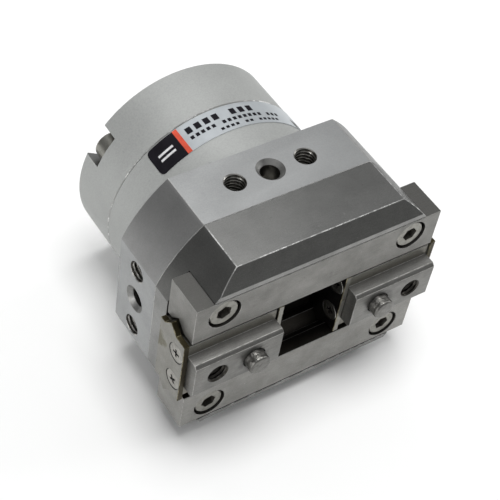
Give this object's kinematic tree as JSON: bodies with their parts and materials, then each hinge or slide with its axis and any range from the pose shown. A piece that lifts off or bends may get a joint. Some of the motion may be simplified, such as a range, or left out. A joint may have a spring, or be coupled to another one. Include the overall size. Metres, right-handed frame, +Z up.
{
  "type": "pneumatic gripper",
  "caption": "Compact parallel air gripper: round vane drive housing, flat-sided front block, crossed-roller guide bars and opposed sliding fingers.",
  "frame": {"origin": "centre of the bounding box in X and Y with the fingers open, on the plane of the lower body flat", "axes": "+X is the travel of the right finger as it opens, +Y runs from the fingers to the rear cap along the body axis, +Z is up from the lower body flat"},
  "size_m": [0.051, 0.0498, 0.0408],
  "materials": {
    "anodised_aluminium": "bead-blasted, clear hard anodised",
    "machined_aluminium": "fine machined, grey anodised",
    "ground_steel": "ground",
    "plated_steel": "plated, slightly worn",
    "dark_steel": "hardened, oiled",
    "cage_brass": "satin",
    "seal_rubber": "matte",
    "label_foil": "printed foil"
  },
  "bodies": {
    "body": {"housing": "anodised_aluminium", "guide_base": "machined_aluminium", "rear_cap": "anodised_aluminium", "upper_guide": "ground_steel", "lower_guide": "ground_steel", "guide_screw_1": "plated_steel", "guide_screw_2": "plated_steel", "guide_screw_3": "plated_steel", "guide_screw_4": "plated_steel", "cap_screw_1": "plated_steel", "cap_screw_2": "plated_steel", "name_label": "label_foil", "stop_block_1": "anodised_aluminium", "stop_block_2": "anodised_aluminium", "front_bearing": "plated_steel", "rear_bearing": "plated_steel", "front_shaft_seal": "seal_rubber", "rear_shaft_seal": "seal_rubber", "cap_o_ring": "seal_rubber"},
    "rotor": {"vane_shaft": "dark_steel", "vane_seal_1": "seal_rubber", "vane_seal_2": "seal_rubber", "cam_disc": "dark_steel", "cam_screw": "plated_steel"},
    "left_jaw": {"left_finger": "ground_steel", "left_inner_plate": "plated_steel", "left_outer_plate": "plated_steel", "left_inner_plate_screw_a": "dark_steel", "left_inner_plate_screw_b": "dark_steel", "left_outer_plate_screw_a": "dark_steel", "left_outer_plate_screw_b": "dark_steel", "left_dowel_pin": "plated_steel", "left_drive_pin": "dark_steel", "left_drive_roller": "plated_steel"},
    "right_jaw": {"right_finger": "ground_steel", "right_inner_plate": "plated_steel", "right_outer_plate": "plated_steel", "right_inner_plate_screw_a": "dark_steel", "right_inner_plate_screw_b": "dark_steel", "right_outer_plate_screw_a": "dark_steel", "right_outer_plate_screw_b": "dark_steel", "right_dowel_pin": "plated_steel", "right_drive_pin": "dark_steel", "right_drive_roller": "plated_steel"},
    "left_upper_rollers": {"left_upper_roller_cage": "cage_brass"},
    "left_lower_rollers": {"left_lower_roller_cage": "cage_brass"},
    "right_upper_rollers": {"right_upper_roller_cage": "cage_brass"},
    "right_lower_rollers": {"right_lower_roller_cage": "cage_brass"}
  },
  "joints": [
    {"name": "rotor_turn", "type": "hinge", "parent": "body", "child": "rotor", "pos_m": [0, -0.00047, 0.0204], "axis": [0, 1, 0], "range_deg": [0, 90]},
    {"name": "left_finger_slide", "type": "slide", "parent": "body", "child": "left_jaw", "axis": [1, 0, 0], "range_m": [0, 0.003]},
    {"name": "right_finger_slide", "type": "slide", "parent": "body", "child": "right_jaw", "axis": [-1, 0, 0], "range_m": [0, 0.003]},
    {"name": "left_upper_rollers_slide", "type": "slide", "parent": "body", "child": "left_upper_rollers", "axis": [1, 0, 0], "range_m": [0, 0.0015]},
    {"name": "left_lower_rollers_slide", "type": "slide", "parent": "body", "child": "left_lower_rollers", "axis": [1, 0, 0], "range_m": [0, 0.0015]},
    {"name": "right_upper_rollers_slide", "type": "slide", "parent": "body", "child": "right_upper_rollers", "axis": [-1, 0, 0], "range_m": [0, 0.0015]},
    {"name": "right_lower_rollers_slide", "type": "slide", "parent": "body", "child": "right_lower_rollers", "axis": [-1, 0, 0], "range_m": [0, 0.0015]}
  ],
  "couplings": [
    {"joint": "left_finger_slide", "follows": "rotor_turn", "m_per_rad": 0.0019099},
    {"joint": "right_finger_slide", "follows": "rotor_turn", "m_per_rad": 0.0019099},
    {"joint": "left_upper_rollers_slide", "follows": "rotor_turn", "m_per_rad": 0.00095492},
    {"joint": "left_lower_rollers_slide", "follows": "rotor_turn", "m_per_rad": 0.00095492},
    {"joint": "right_upper_rollers_slide", "follows": "rotor_turn", "m_per_rad": 0.00095492},
    {"joint": "right_lower_rollers_slide", "follows": "rotor_turn", "m_per_rad": 0.00095492}
  ]
}
